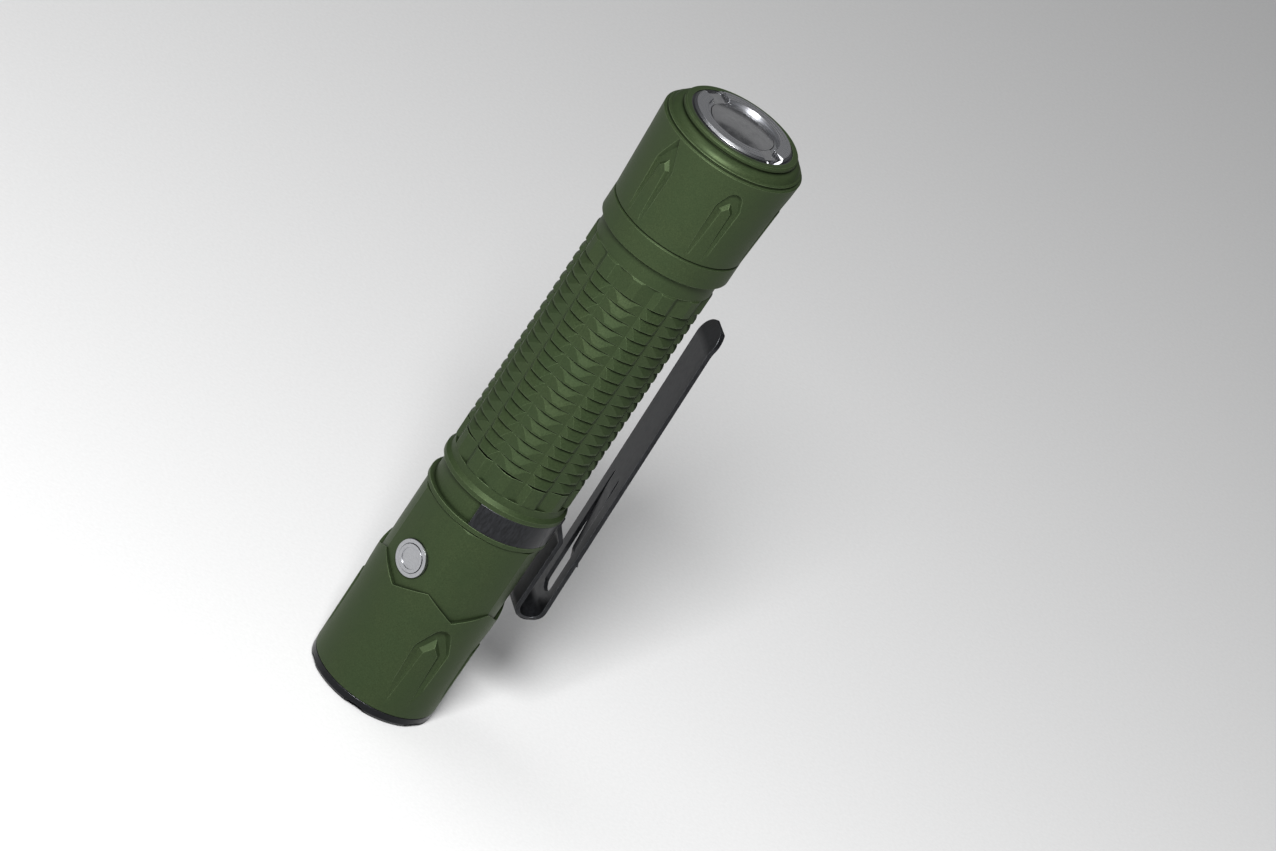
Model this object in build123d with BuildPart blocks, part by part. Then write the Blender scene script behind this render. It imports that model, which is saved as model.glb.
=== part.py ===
from build123d import *
from math import asin, cos, degrees, radians, sin, sqrt
import os

os.makedirs("parts", exist_ok=True)

# Tactical flashlight with a side switch, a two-way pocket clip and a press button in the tail.
# Millimetres. The light stands on its bezel: z = 0 is the bezel's crown and +Z runs to the tail.
# +X is the side that carries the pocket clip. Angles are measured from +X towards +Y.

# ------------------------------------------------------------------ driving dimensions

# lengths along the axis, stacked from the bezel to the tail
bezel_lip = 2.0  # the black rim that shows in front of the green head
bezel_thread_length = 2.6
lens_ring_section = 1.0
lens_thickness = 1.8
reflector_depth = 14.6
centering_height = 1.2
led_board_thickness = 1.6
shelf_thickness = 2.4
driver_room = 8.8
driver_board_thickness = 1.4
driver_ring_height = 1.6
tube_end_gap = 0.2  # between the tube's ends and the rings that face them
front_spigot_length = 4.4
front_spring_length = 6.2
cell_length = 75.0
positive_height = 1.0
tail_spring_length = 4.4
nut_height = 1.2
tail_spigot_length = 8.6
collar_length = 4.5
neck_length = 4.2
first_block_length = 4.1
tail_board_thickness = 1.2
switch_height = 4.4
web_gap = 0.6
web_thickness = 1.8
boot_thickness = 0.7
insulator_base = 0.6
flange_room = 1.7
contact_plate = 1.5
crescent_height = 0.6
button_crown = 0.2  # the button's top above the crescents

# diameters
cell_diameter = 21.4
contact_diameter = 20.3
tail_button_diameter = 13.0
side_button_diameter = 5.5

# steps outwards from the cell to the skin of the light
tube_wall = 1.2
head_step = 0.8  # head above the smooth neck
lens_rim = 1.9  # head beyond the lens
collar_step = 1.2  # collar, and the cap's mouth behind it, above the smooth neck
shoulder_flare = 1.0  # cap's shoulder above its mouth
rim_wall = 1.25  # rim round the insulated contact
cavity_step = 1.1  # driver's cavity inside the tube's bore
lip_step = 1.2  # tube's front lip inside its bore, which keeps the cell back

# named clearances
slip = 0.1  # a part that drops into its seat
thread_play = 0.15  # between thread crests and the plain bore that stands for the other thread
cell_play = 0.3  # round the cell
button_play = 0.12  # round a button in its frame
seal_play = 0.05  # between a squeezed sealing ring and its bore
clip_play = 0.08  # between the clip's ring and its groove

# travel
tail_button_travel = 1.5
side_button_travel = 0.4

# walls and small features
seat_width = 0.9
head_flare = 0.15
facet_depth = 0.55
thread_pitch = 1.0
thread_depth = 0.4
ring_section = 0.9  # sealing rings of the tube
groove_width = 1.2
spigot_wall = 0.55
sleeve_thickness = 0.25
knurl_height = 0.7
knurl_pitch = 2.37
crest_rise = 0.25  # knurl crests above the smooth neck
clip_thickness = 0.9
clip_ring_width = 5.0
clip_width = 8.2
spring_wire = 0.7

# clocking
sides = 6
head_clock = 30.0
tail_clock = 26.0
switch_angle = 210.0

# ------------------------------------------------------------------ stations along the axis

z_head_front = bezel_lip
z_bezel_rear = z_head_front + bezel_thread_length
z_lens = z_bezel_rear + lens_ring_section
z_reflector = z_lens + lens_thickness
z_centering = z_reflector + reflector_depth
z_led_board = z_centering + centering_height
z_shelf = z_led_board + led_board_thickness
z_cavity = z_shelf + shelf_thickness
z_driver = z_cavity + driver_room
z_driver_ring = z_driver + driver_board_thickness
z_tube_front = z_driver_ring + driver_ring_height + tube_end_gap
z_head_rear = z_tube_front + front_spigot_length
z_cell = z_driver_ring + front_spring_length
z_can = z_cell + positive_height
z_cell_rear = z_cell + cell_length
z_tail_board = z_cell_rear + tail_spring_length
z_nut = z_tail_board - nut_height
z_tube_rear = z_nut - tube_end_gap
z_seam = z_tube_rear - tail_spigot_length
z_collar = z_seam - collar_length
z_knurl_rear = z_collar - neck_length
z_switch_base = z_tail_board + tail_board_thickness
z_web = z_switch_base + switch_height + web_gap
z_boot = z_web + web_thickness
z_insulator = z_boot + boot_thickness
z_contact = z_insulator + insulator_base
z_contact_ceiling = z_contact + flange_room
z_moat = z_contact_ceiling + contact_plate
z_crescent = z_moat + crescent_height
z_rim = z_moat
z_button_top = z_crescent + button_crown
z_side_switch = z_cavity + driver_room / 2

# ------------------------------------------------------------------ radii worked out from the sizes

cell_radius = cell_diameter / 2
tube_bore = cell_radius + cell_play
tube_radius = tube_bore + tube_wall
head_radius = tube_radius + head_step
head_rear_radius = head_radius + head_flare
lens_radius = head_radius - lens_rim
mouth_radius = head_radius - seat_width
optic_bore = lens_radius + slip
cavity_radius = tube_bore - cavity_step
front_spigot_bore = tube_bore - lip_step
driver_radius = cavity_radius + 0.7
driver_ring_radius = driver_radius + 0.3
front_thread_bore = driver_ring_radius + 0.5
front_seal_bore = front_thread_bore + 0.15
front_crest = front_thread_bore - thread_play
tail_root = tube_bore + spigot_wall
tail_crest = tail_root + thread_depth
cap_thread_bore = tail_crest + thread_play
cap_seal_bore = cap_thread_bore + 0.25
knurl_crest = tube_radius + crest_rise
knurl_root = knurl_crest - knurl_height
collar_radius = tube_radius + collar_step
nut_radius = cap_thread_bore - 0.9
tail_board_radius = nut_radius - 0.3
switch_bay_radius = tail_board_radius - 1.5
contact_radius = contact_diameter / 2
insulator_radius = contact_radius + slip / 2 + 0.3
pocket_radius = insulator_radius + slip / 2
rim_radius = pocket_radius + rim_wall
button_radius = tail_button_diameter / 2
button_hole = button_radius + button_play
ear_reach = contact_radius - 0.85


def ridges(start, count, root, crest):
    """Outline points of a run of thread ridges, front to rear."""
    points = []
    for turn in range(count):
        base = start + turn * thread_pitch
        points += [
            (root, base),
            (crest, base + 0.35 * thread_pitch),
            (crest, base + 0.5 * thread_pitch),
            (root, base + 0.85 * thread_pitch),
        ]
    return points


def facing(angle, height=0.0):
    """A plane through the axis that looks outwards: x runs round the light and y along it."""
    across = (-sin(radians(angle)), cos(radians(angle)), 0)
    outwards = (cos(radians(angle)), sin(radians(angle)), 0)
    return Plane(origin=(0, 0, height), x_dir=across, z_dir=outwards)


def save(piece, name):
    """Label a finished piece and write it to its own file."""
    piece.part.label = name
    export_step(piece.part, f"parts/{name}.step")


# ------------------------------------------------------------------ bezel

crown_inner = lens_radius - 0.4
crown_width = 0.9
scallop_radius = 5.5
scallop_depth = 0.95
bezel_radius = head_radius - 0.08
bezel_bore = lens_radius - 0.7

with BuildPart() as bezel_ring:
    with BuildSketch(Plane.XZ):
        with BuildLine():
            Polyline(
                (crown_inner, 0),
                (crown_inner + crown_width, 0),
                (bezel_radius - 0.3, 0.25),
                (bezel_radius, 0.6),
                (bezel_radius, z_head_front),
                (mouth_radius - thread_play - thread_depth / 2, z_head_front),
                *ridges(z_head_front + 0.2, 2, mouth_radius - thread_play - thread_depth / 2,
                        mouth_radius - thread_play),
                (mouth_radius - thread_play - thread_depth / 2, z_bezel_rear),
                (bezel_bore, z_bezel_rear),
                (bezel_bore, z_bezel_rear - 0.8),
                close=True,
            )
        make_face()
    revolve(axis=Axis.Z)
    # shallow scallops in the outer edge; the inner edge of the crown stays a whole ring
    with PolarLocations(bezel_radius, sides):
        with Locations((0, 0, scallop_depth - scallop_radius)):
            Cylinder(
                scallop_radius,
                2 * (bezel_radius - crown_inner - crown_width),
                rotation=(0, 90, 0),
                mode=Mode.SUBTRACT,
            )
save(bezel_ring, "bezel_ring")

# ------------------------------------------------------------------ lens and its seal

lens_ring_radius = lens_radius - lens_ring_section / 2

with BuildPart() as lens_oring:
    with BuildSketch(Plane.XZ):
        with Locations((lens_ring_radius, z_bezel_rear + lens_ring_section / 2)):
            Circle(lens_ring_section / 2)
    revolve(axis=Axis.Z)
save(lens_oring, "lens_oring")

with BuildPart() as lens:
    with BuildSketch(Plane.XY.offset(z_lens)):
        Circle(lens_radius)
    extrude(amount=lens_thickness)
    chamfer(lens.edges(), length=0.2)
save(lens, "lens")

# ------------------------------------------------------------------ reflector

reflector_mouth = lens_radius - 0.9
reflector_waist = lens_radius - 0.5
reflector_foot = 5.6
flange_height = 2.0
# focal length of the bowl whose focus lies in its rear plane
focal_length = (sqrt(reflector_depth**2 + reflector_mouth**2) - reflector_depth) / 2
led_hole = 2 * focal_length

with BuildPart() as reflector:
    with BuildSketch(Plane.XZ):
        with BuildLine():
            # a quadratic curve is an exact parabola
            Bezier(
                (reflector_mouth, z_reflector),
                (
                    (reflector_mouth + led_hole) / 2,
                    z_centering + focal_length - reflector_mouth * led_hole / (4 * focal_length),
                ),
                (led_hole, z_centering),
            )
            Polyline(
                (led_hole, z_centering),
                (reflector_foot, z_centering),
                (reflector_waist, z_reflector + flange_height + 6.0),
                (reflector_waist, z_reflector + flange_height),
                (lens_radius, z_reflector + flange_height),
                (lens_radius, z_reflector),
                (reflector_mouth, z_reflector),
            )
        make_face()
    revolve(axis=Axis.Z)
save(reflector, "reflector")

# ------------------------------------------------------------------ light source

led_package = 5.0
led_package_height = 0.7
led_dome_radius = 2.0
led_board_radius = 8.2
lead_offset = 6.4
lead_radius = 0.6
z_led_face = z_led_board - led_package_height

with BuildPart() as led_centering_ring:
    with BuildSketch(Plane.XY.offset(z_centering)):
        Circle(reflector_foot)
        Circle(led_package * sqrt(2) / 2 + slip, mode=Mode.SUBTRACT)
    extrude(amount=centering_height)
    chamfer(led_centering_ring.faces().sort_by(Axis.Z)[0].outer_wire().edges(), length=0.2)
save(led_centering_ring, "led_centering_ring")

with BuildPart() as led_emitter:
    with BuildSketch(Plane.XY.offset(z_led_face)):
        RectangleRounded(led_package, led_package, 0.3)
    extrude(amount=led_package_height)
    with BuildSketch(Plane.XZ):
        with BuildLine():
            dome = CenterArc((0, z_led_face), led_dome_radius, -90, 90)
            Polyline(dome @ 1, (0, z_led_face), dome @ 0)
        make_face()
    revolve(axis=Axis.Z)
save(led_emitter, "led_emitter")

with BuildPart() as led_board:
    with BuildSketch(Plane.XY.offset(z_led_board)):
        Circle(led_board_radius)
        # two screwdriver notches in the rim
        with PolarLocations(led_board_radius, 2, start_angle=90):
            Circle(1.2, mode=Mode.SUBTRACT)
    extrude(amount=led_board_thickness)
save(led_board, "led_board")

with BuildPart() as led_leads:
    with BuildSketch(Plane.XY.offset(z_shelf)):
        with PolarLocations(lead_offset, 2):
            Circle(lead_radius)
    extrude(amount=z_driver - z_shelf)
save(led_leads, "led_leads")

# ------------------------------------------------------------------ cutters for the head

# a tilted flat let into the round wall, with an arrow-shaped island left standing in it;
# the walls of both lean back by the draft
arrow_draft = 40.0


def arrow_cutter(angle, floor_radii, reach, z_front, z_shoulder, z_tip, half, corner, island):
    """Recess with a V end towards the tail; island is (shoulder z, tip z, half width)."""
    floor_front, floor_rear = floor_radii
    run = z_tip - z_front
    rise = floor_rear - floor_front
    direction = (cos(radians(angle)), sin(radians(angle)))
    origin = (floor_front * direction[0], floor_front * direction[1], z_front)
    normal = (direction[0] * run, direction[1] * run, -rise)
    floor = Plane(origin=origin, x_dir=(-direction[1], direction[0], 0), z_dir=normal)
    island_shoulder, island_tip, island_half = island
    with BuildPart() as cutter:
        with BuildSketch(floor) as outline:
            Polygon(
                (0, z_tip - z_front),
                (-half, z_shoulder - z_front),
                (-half, 0),
                (half, 0),
                (half, z_shoulder - z_front),
                align=None,
            )
            fillet(outline.vertices().sort_by(Axis.Z)[-3:], radius=corner)
        extrude(amount=reach, taper=-arrow_draft)
        with BuildSketch(floor):
            Polygon(
                (0, island_tip - z_front),
                (-island_half, island_shoulder - z_front),
                (-island_half, -2 * reach),
                (island_half, -2 * reach),
                (island_half, island_shoulder - z_front),
                align=None,
            )
        extrude(amount=reach, taper=arrow_draft, mode=Mode.SUBTRACT)
    return cutter.part


head_arrow_front = z_head_front + 0.6
head_arrow_tip = head_arrow_front + 20.6
head_arrow_shoulder = head_arrow_tip - 5.2
head_arrow_island = (head_arrow_tip - 5.7, head_arrow_tip - 2.8, 2.25)
head_arrow_half = 3.3
head_arrow_corner = 1.3
head_arrow_reach = 1.6  # the cutter's height, above the deepest floor
# radii of the recess floor at the front and at the tip
head_arrow_floor = (head_radius - 0.06, head_radius - 1.15)

# the rear of the head is a rounded hexagon whose sides end in shallow V points
facet_tip = head_arrow_tip + 1.9
facet_rise = 3.3
ridge_radius = head_rear_radius - 0.25
facet_radius_out = head_radius - facet_depth
half_side = 180 / sides
facet_centre = (ridge_radius**2 - facet_radius_out**2) / (
    2 * (ridge_radius * cos(radians(half_side)) - facet_radius_out)
)
facet_curve = facet_radius_out - facet_centre

with BuildPart() as facet_cutter:
    # six V-ended slabs, open towards the tail
    for side in range(sides):
        with BuildSketch(facing(head_clock + side * 360 / sides).offset(head_radius - 3)) as slab:
            with BuildLine():
                half = ridge_radius * sin(radians(half_side))
                slope = facet_rise / half
                Polyline(
                    (0, facet_tip),
                    (1.15 * half, facet_tip + 1.15 * half * slope),
                    (1.15 * half, z_head_rear + 1),
                    (-1.15 * half, z_head_rear + 1),
                    (-1.15 * half, facet_tip + 1.15 * half * slope),
                    close=True,
                )
            make_face()
            fillet(slab.vertices().sort_by(Axis.Z)[0], radius=1.4)
        extrude(amount=5)
    # what is left of the hexagon stays in the head
    with BuildSketch(Plane.XY.offset(facet_tip - 3)):
        for side in range(sides):
            middle = radians(head_clock + side * 360 / sides)
            with Locations((facet_centre * cos(middle), facet_centre * sin(middle))):
                Circle(facet_curve, mode=Mode.ADD if side == 0 else Mode.INTERSECT)
    extrude(amount=z_head_rear + 3, mode=Mode.SUBTRACT)

head_arrow_cutters = [
    arrow_cutter(
        head_clock + side * 360 / sides,
        head_arrow_floor,
        head_arrow_reach,
        head_arrow_front,
        head_arrow_shoulder,
        head_arrow_tip,
        head_arrow_half,
        head_arrow_corner,
        head_arrow_island,
    )
    for side in range(sides)
    if head_clock + side * 360 / sides != switch_angle
]

# ------------------------------------------------------------------ head

board_seat = driver_radius + slip
boss_radius = driver_room / 2 - 0.05
switch_frame_radius = side_button_diameter / 2 + button_play + 0.75
switch_bore = switch_frame_radius + slip / 2
switch_floor = cavity_radius - 0.5
boss_floor = switch_floor - 0.7
switch_board_thickness = 0.8

with BuildPart() as head_housing:
    with BuildSketch(Plane.XZ):
        with BuildLine():
            Polyline(
                (mouth_radius, z_head_front),
                (head_radius - 0.25, z_head_front),
                (head_radius, z_head_front + 0.25),
                (head_rear_radius, facet_tip + facet_rise),
                (head_rear_radius, z_head_rear - 0.5),
                (head_rear_radius - 0.5, z_head_rear),
                (front_seal_bore, z_head_rear),
                (front_seal_bore, z_head_rear - 2.0),
                (front_thread_bore, z_head_rear - 2.3),
                (front_thread_bore, z_driver_ring + driver_ring_height),
                (driver_ring_radius + slip, z_driver_ring + driver_ring_height),
                (driver_ring_radius + slip, z_driver_ring),
                (board_seat, z_driver_ring),
                (board_seat, z_driver),
                (cavity_radius, z_driver),
                (cavity_radius, z_cavity),
                (0, z_cavity),
                (0, z_shelf),
                (led_board_radius + slip, z_shelf),
                (led_board_radius + slip, z_centering + slip),
                (optic_bore, z_centering + slip),
                (optic_bore, z_bezel_rear + 0.3),
                (mouth_radius, z_bezel_rear + 0.3),
                close=True,
            )
        make_face()
    revolve(axis=Axis.Z)
    add(facet_cutter.part, mode=Mode.SUBTRACT)
    add(head_arrow_cutters, mode=Mode.SUBTRACT)
    # boss and pocket for the side switch
    with BuildSketch(facing(switch_angle, z_side_switch).offset(boss_floor)):
        Circle(boss_radius)
    extrude(amount=cavity_radius + 0.8 - boss_floor)
    with BuildSketch(facing(switch_angle, z_side_switch).offset(switch_floor)):
        Circle(switch_bore)
    extrude(amount=head_radius, mode=Mode.SUBTRACT)
    with BuildSketch(facing(switch_angle, z_side_switch).offset(boss_floor)):
        Circle(1.2)
    extrude(amount=1.0, mode=Mode.SUBTRACT)
    # holes in the heat shelf for the two leads of the light source
    with BuildSketch(Plane.XY.offset(z_shelf)):
        with PolarLocations(lead_offset, 2):
            Circle(lead_radius + 0.3)
    extrude(amount=shelf_thickness, mode=Mode.SUBTRACT)
save(head_housing, "head_housing")

# ------------------------------------------------------------------ driver

inductor_size = 5.0
inductor_height = 3.2
chip_size = 4.0
chip_height = 1.0
capacitor_height = 1.4

with BuildPart() as driver_board:
    with BuildSketch(Plane.XY.offset(z_driver)):
        Circle(driver_radius)
    extrude(amount=driver_board_thickness)
save(driver_board, "driver_board")

with BuildPart() as driver_inductor:
    with BuildSketch(Plane.XY.offset(z_driver - inductor_height)):
        with Locations((3.0, -2.9)):
            RectangleRounded(inductor_size, inductor_size, 0.6)
    extrude(amount=inductor_height)
    chamfer(driver_inductor.faces().sort_by(Axis.Z)[0].edges(), length=0.3)
save(driver_inductor, "driver_inductor")

with BuildPart() as driver_chip:
    with BuildSketch(Plane.XY.offset(z_driver - chip_height)):
        with Locations((2.6, 3.4)):
            Rectangle(chip_size, chip_size)
    extrude(amount=chip_height)
save(driver_chip, "driver_chip")

with BuildPart() as driver_capacitors:
    with BuildSketch(Plane.XY.offset(z_driver - capacitor_height)):
        with Locations((-1.8, 5.2), (-1.8, 3.2)):
            Rectangle(2.4, 1.3)
    extrude(amount=capacitor_height)
save(driver_capacitors, "driver_capacitors")

with BuildPart() as driver_ring:
    with BuildSketch(Plane.XY.offset(z_driver_ring)):
        Circle(driver_ring_radius)
        Circle(driver_ring_radius - 2.2, mode=Mode.SUBTRACT)
    extrude(amount=driver_ring_height)
    # two spanner notches
    with BuildSketch(Plane.XY.offset(z_driver_ring + driver_ring_height / 2)):
        with PolarLocations(driver_ring_radius - 2.2, 2, start_angle=90):
            Circle(1.0)
    extrude(amount=driver_ring_height / 2, mode=Mode.SUBTRACT)
save(driver_ring, "driver_ring")

spring_foot = 0.6


def coil(bottom, length, radius, turns, foot_at_top):
    """A coil spring with a flat soldering foot at one end."""
    foot_z = bottom + length - spring_foot if foot_at_top else bottom
    coil_z = bottom + spring_wire / 2 if foot_at_top else bottom + spring_foot - spring_wire / 4
    height = length - spring_foot - spring_wire / 4
    with BuildPart() as spring:
        with BuildLine() as path:
            Helix(pitch=height / turns, height=height, radius=radius, center=(0, 0, coil_z))
        with BuildSketch(Plane(origin=path.line @ 0, z_dir=path.line % 0)):
            Circle(spring_wire / 2)
        sweep(is_frenet=True)
        with BuildSketch(Plane.XY.offset(foot_z)):
            Circle(radius + spring_wire)
            Circle(radius - spring_wire, mode=Mode.SUBTRACT)
        extrude(amount=spring_foot)
    return spring


front_contact_spring = coil(z_driver_ring, front_spring_length - 0.4, 3.6, 3.5, False)
save(front_contact_spring, "front_contact_spring")

# ------------------------------------------------------------------ side switch

side_plane = facing(switch_angle, z_side_switch)
side_button_radius = side_button_diameter / 2
dome_height = 0.45
seal_height = 1.0
d_switch_board = switch_floor
d_dome = d_switch_board + switch_board_thickness
d_flange = d_dome + seal_height + side_button_travel + slip / 2
side_flange = 0.45
d_frame = d_flange + side_flange + 0.03
d_frame_top = facet_radius_out + 0.4
d_button_top = d_frame_top + 0.15

with BuildPart() as side_switch_board:
    with BuildSketch(side_plane.offset(d_switch_board)):
        Circle(switch_frame_radius)
    extrude(amount=switch_board_thickness)
save(side_switch_board, "side_switch_board")

with BuildPart() as side_switch_dome:
    with BuildSketch(side_plane.offset(d_dome)):
        Circle(1.7)
    extrude(amount=dome_height)
    chamfer(side_switch_dome.edges().filter_by(GeomType.CIRCLE).group_by(Axis.Y)[0], length=0.1)
save(side_switch_dome, "side_switch_dome")

with BuildPart() as side_switch_seal:
    with BuildSketch(side_plane.offset(d_dome)):
        Circle(switch_frame_radius)
        Circle(2.1, mode=Mode.SUBTRACT)
    extrude(amount=seal_height)
save(side_switch_seal, "side_switch_seal")

with BuildPart() as side_switch_bezel:
    with BuildSketch(side_plane.offset(d_frame)) as frame_face:
        Circle(switch_frame_radius)
        Circle(side_button_radius + button_play, mode=Mode.SUBTRACT)
    extrude(amount=d_frame_top - d_frame)
save(side_switch_bezel, "side_switch_bezel")

with BuildPart() as side_button:
    with BuildSketch(side_plane.offset(d_flange)):
        Circle(side_button_radius + 0.45)
    extrude(amount=side_flange)
    with BuildSketch(side_plane.offset(d_flange + side_flange)):
        Circle(side_button_radius)
    extrude(amount=d_button_top - d_flange - side_flange)
    with BuildSketch(side_plane.offset(d_dome + dome_height + side_button_travel + 0.05)):
        Circle(1.2)
    extrude(amount=d_flange - d_dome - dome_height - side_button_travel - 0.05)
    # shallow dish in the button's face
    with BuildSketch(side_plane.offset(d_button_top - 0.15)):
        Circle(side_button_radius - 0.7)
    extrude(amount=1, mode=Mode.SUBTRACT)
save(side_button, "side_button")

# ------------------------------------------------------------------ battery tube

front_root = front_crest - thread_depth
front_groove_floor = front_seal_bore - seal_play - ring_section
tail_groove_floor = cap_seal_bore - seal_play - ring_section
z_front_groove = z_head_rear - 0.4 - groove_width
z_tail_groove = z_seam + 1.2
clip_groove_start = z_head_rear + 1.2
clip_groove_end = clip_groove_start + clip_ring_width + 2 * slip
clip_groove_radius = tube_radius - 0.3
knurl_room = z_knurl_rear - 2 * first_block_length - clip_groove_end - 2.4
knurl_count = int(knurl_room // knurl_pitch)
z_knurl_front = z_knurl_rear - 2 * first_block_length - knurl_count * knurl_pitch

tube_outline = [
    (front_spigot_bore, z_tube_front),
    (front_root, z_tube_front),
    *ridges(z_tube_front + 0.2, 2, front_root, front_crest),
    (front_root, z_front_groove - 0.3),
    (front_crest, z_front_groove - 0.2),
    (front_crest, z_front_groove),
    (front_groove_floor, z_front_groove),
    (front_groove_floor, z_front_groove + groove_width),
    (front_seal_bore - slip, z_front_groove + groove_width),
    (front_seal_bore - slip, z_head_rear),
    # ring that the head butts against, then the groove that holds the clip
    (head_radius - 0.5, z_head_rear),
    (head_radius - 0.1, z_head_rear + 0.3),
    (head_radius - 0.1, clip_groove_start),
    (clip_groove_radius, clip_groove_start),
    (clip_groove_radius, clip_groove_end),
    (head_radius - 0.1, clip_groove_end),
    (head_radius - 0.1, clip_groove_end + 0.9),
    (tube_radius, clip_groove_end + 1.6),
    (tube_radius, z_knurl_front - crest_rise),
    (knurl_crest, z_knurl_front),
    (knurl_crest, z_knurl_front + first_block_length),
]
# sawtooth rings: each one is widest on its head side and tapers towards the tail
for ring in range(knurl_count):
    base = z_knurl_front + first_block_length + ring * knurl_pitch
    tube_outline += [
        (knurl_root, base),
        (knurl_root, base + 0.15),
        (knurl_crest, base + 0.4),
        (knurl_crest, base + 0.75),
        (knurl_root + 0.1, base + knurl_pitch),
    ]
tube_outline += [
    (knurl_root, z_knurl_rear - first_block_length),
    (knurl_root, z_knurl_rear - first_block_length + 0.15),
    (knurl_crest, z_knurl_rear - first_block_length + 0.4),
    (knurl_crest, z_knurl_rear),
    (tube_radius, z_knurl_rear + crest_rise),
    (tube_radius, z_collar - 0.8),
    (collar_radius, z_collar),
    (collar_radius, z_seam - 0.25),
    (collar_radius - 0.25, z_seam),
    # spigot that the tail cap screws onto
    (cap_seal_bore - 2 * slip, z_seam),
    (cap_seal_bore - 2 * slip, z_tail_groove),
    (tail_groove_floor, z_tail_groove),
    (tail_groove_floor, z_tail_groove + groove_width),
    (tail_crest, z_tail_groove + groove_width),
    (tail_crest, z_tail_groove + groove_width + 0.4),
    (tail_root, z_tail_groove + groove_width + 0.7),
    *ridges(z_tube_rear - 4.4, 4, tail_root, tail_crest),
    (tail_root, z_tube_rear),
    (tube_bore, z_tube_rear),
    (tube_bore, z_can - 0.3),
    (front_spigot_bore, z_can - 0.3),
]

island_half_angle = 6.0
wall_angle = 12.0
plain_angle = 25.5

with BuildPart() as battery_tube:
    with BuildSketch(Plane.XZ):
        with BuildLine():
            Polyline(*tube_outline, close=True)
        make_face()
    revolve(axis=Axis.Z)
    # twelve lengthwise channels, mirrored in pairs: a steep wall and a long flat
    with BuildSketch(Plane.XY.offset(z_knurl_front - crest_rise)) as channels:
        for hand in (1, -1):
            with PolarLocations(0, sides, start_angle=head_clock):
                corners = [
                    (knurl_crest + 0.4, hand * (island_half_angle - 2.5)),
                    (knurl_root - 0.05, hand * wall_angle),
                    (knurl_crest + 0.4, hand * (plain_angle + 4.5)),
                ]
                Polygon(
                    *[(r * cos(radians(a)), r * sin(radians(a))) for r, a in corners],
                    align=None,
                )
    extrude(
        amount=z_knurl_rear - z_knurl_front + 2 * crest_rise,
        mode=Mode.SUBTRACT,
    )
save(battery_tube, "battery_tube")

with BuildPart() as front_oring:
    with BuildSketch(Plane.XZ):
        with Locations((front_groove_floor + ring_section / 2, z_front_groove + groove_width / 2)):
            Circle(ring_section / 2)
    revolve(axis=Axis.Z)
save(front_oring, "front_oring")

with BuildPart() as tail_oring:
    with BuildSketch(Plane.XZ):
        with Locations((tail_groove_floor + ring_section / 2, z_tail_groove + groove_width / 2)):
            Circle(ring_section / 2)
    revolve(axis=Axis.Z)
save(tail_oring, "tail_oring")

# ------------------------------------------------------------------ pocket clip

clip_inner = clip_groove_radius + clip_play
clip_middle = clip_inner + clip_thickness / 2
clip_opening = 110.0
z_clip_ring = clip_groove_start + slip
arm_radius = head_rear_radius + 1.75
plate_radius_bend = arm_radius + 5.5
plate_radius_tip = knurl_crest + 6.25
bend_bottom = z_clip_ring - 19.4
plate_end = z_clip_ring + 50.9
flare_length = 4.0
arm_width = 7.0
slot_width = 3.8
slot_start = bend_bottom + 5.5
slot_end = bend_bottom + 34.5
tongue_width = 2.8
tongue_tip = bend_bottom + 13.0
tongue_radius = plate_radius_bend + 1.6
bend_radius = (plate_radius_bend - arm_radius) / 2
z_bend = bend_bottom + bend_radius + clip_thickness / 2
z_flare = plate_end - flare_length


def plate_radius(height):
    """Middle of the outer plate at a height: it closes in towards its tip."""
    share = (height - z_bend) / (z_flare - z_bend)
    return plate_radius_bend + share * (plate_radius_tip - plate_radius_bend)


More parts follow.
